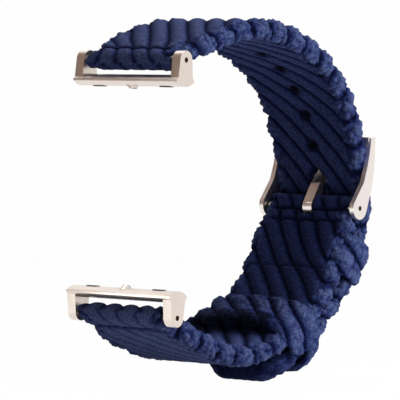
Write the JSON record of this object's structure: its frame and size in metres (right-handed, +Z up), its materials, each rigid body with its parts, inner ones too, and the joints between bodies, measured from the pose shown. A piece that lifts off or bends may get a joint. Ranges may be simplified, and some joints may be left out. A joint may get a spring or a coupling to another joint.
{
  "type": "watch band",
  "caption": "Corduroy watch band buckled into a loop, with slide-in adapters on spring bars, a pin buckle, and a fixed and a sliding keeper.",
  "frame": {"origin": "middle of the loop that goes round the wrist, halfway between the two adapters' spring bars and the buckle's spring bar, in height and in depth", "axes": "+X across the band along the spring bars, +Y from the adapters back to the buckle, +Z up from the lower adapter to the upper one"},
  "size_m": [0.0262, 0.0652, 0.0692],
  "materials": {
    "corduroy": "thick soft-pile navy corduroy with diagonal wales",
    "adapter_metal": "warm pale silver, satin",
    "buckle_metal": "warm pale silver, satin",
    "spring_bar_steel": "plain steel",
    "pad_rubber": "matte"
  },
  "bodies": {
    "band": {"long_strap": "corduroy", "short_strap": "corduroy", "fixed_keeper": "corduroy", "upper_bar_tube": "spring_bar_steel", "upper_bar_spring": "spring_bar_steel", "lower_bar_tube": "spring_bar_steel", "lower_bar_spring": "spring_bar_steel", "buckle_bar_tube": "spring_bar_steel", "buckle_bar_spring": "spring_bar_steel"},
    "free_keeper": {"free_keeper": "corduroy"},
    "buckle_frame": {"buckle_frame": "buckle_metal"},
    "buckle_tongue": {"buckle_tongue": "buckle_metal"},
    "upper_adapter": {"upper_adapter": "adapter_metal", "upper_lock_collar": "adapter_metal", "upper_lock_spring": "spring_bar_steel", "upper_rail_pads": "pad_rubber"},
    "upper_lock_button": {"upper_lock_button": "adapter_metal"},
    "lower_adapter": {"lower_adapter": "adapter_metal", "lower_lock_collar": "adapter_metal", "lower_lock_spring": "spring_bar_steel", "lower_rail_pads": "pad_rubber"},
    "lower_lock_button": {"lower_lock_button": "adapter_metal"},
    "upper_bar_pin_left": {"upper_bar_pin_left": "spring_bar_steel"},
    "upper_bar_pin_right": {"upper_bar_pin_right": "spring_bar_steel"},
    "lower_bar_pin_left": {"lower_bar_pin_left": "spring_bar_steel"},
    "lower_bar_pin_right": {"lower_bar_pin_right": "spring_bar_steel"},
    "buckle_bar_pin_left": {"buckle_bar_pin_left": "spring_bar_steel"},
    "buckle_bar_pin_right": {"buckle_bar_pin_right": "spring_bar_steel"}
  },
  "joints": [
    {"name": "keeper_slide", "type": "hinge", "parent": "band", "child": "free_keeper", "pos_m": [0, -0.00504, 0.00105], "axis": [1, 0, 0], "range_deg": [0, 4.5]},
    {"name": "buckle_swing", "type": "hinge", "parent": "band", "child": "buckle_frame", "pos_m": [0, 0.02805, -0.0028], "axis": [-1, 0, 0], "range_deg": [0, 4]},
    {"name": "tongue_swing", "type": "hinge", "parent": "buckle_frame", "child": "buckle_tongue", "pos_m": [0, 0.02805, -0.0028], "axis": [-1, 0, 0], "range_deg": [0, 4]},
    {"name": "upper_adapter_hinge", "type": "hinge", "parent": "band", "child": "upper_adapter", "pos_m": [0, -0.02805, 0.0235], "axis": [1, 0, 0], "range_deg": [-60, 45]},
    {"name": "upper_lock_press", "type": "slide", "parent": "upper_adapter", "child": "upper_lock_button", "axis": [0, 0, 1], "range_m": [0, 0.0004], "stiffness_N_per_m": 200, "springref_m": -0.0005, "deforming": ["upper_lock_spring"]},
    {"name": "lower_adapter_hinge", "type": "hinge", "parent": "band", "child": "lower_adapter", "pos_m": [0, -0.02805, -0.0235], "axis": [1, 0, 0], "range_deg": [-45, 60]},
    {"name": "lower_lock_press", "type": "slide", "parent": "lower_adapter", "child": "lower_lock_button", "axis": [0, 0, -1], "range_m": [0, 0.0004], "stiffness_N_per_m": 200, "springref_m": -0.0005, "deforming": ["lower_lock_spring"]},
    {"name": "upper_pin_left_press", "type": "slide", "parent": "band", "child": "upper_bar_pin_left", "axis": [1, 0, 0], "range_m": [0, 0.0009], "stiffness_N_per_m": 200, "springref_m": -0.001, "deforming": ["upper_bar_spring"]},
    {"name": "upper_pin_right_press", "type": "slide", "parent": "band", "child": "upper_bar_pin_right", "axis": [-1, 0, 0], "range_m": [0, 0.0009], "stiffness_N_per_m": 200, "springref_m": -0.001, "deforming": ["upper_bar_spring"]},
    {"name": "lower_pin_left_press", "type": "slide", "parent": "band", "child": "lower_bar_pin_left", "axis": [1, 0, 0], "range_m": [0, 0.0009], "stiffness_N_per_m": 200, "springref_m": -0.001, "deforming": ["lower_bar_spring"]},
    {"name": "lower_pin_right_press", "type": "slide", "parent": "band", "child": "lower_bar_pin_right", "axis": [-1, 0, 0], "range_m": [0, 0.0009], "stiffness_N_per_m": 200, "springref_m": -0.001, "deforming": ["lower_bar_spring"]},
    {"name": "buckle_pin_left_press", "type": "slide", "parent": "band", "child": "buckle_bar_pin_left", "axis": [1, 0, 0], "range_m": [0, 0.0009], "stiffness_N_per_m": 200, "springref_m": -0.001, "deforming": ["buckle_bar_spring"]},
    {"name": "buckle_pin_right_press", "type": "slide", "parent": "band", "child": "buckle_bar_pin_right", "axis": [-1, 0, 0], "range_m": [0, 0.0009], "stiffness_N_per_m": 200, "springref_m": -0.001, "deforming": ["buckle_bar_spring"]}
  ]
}
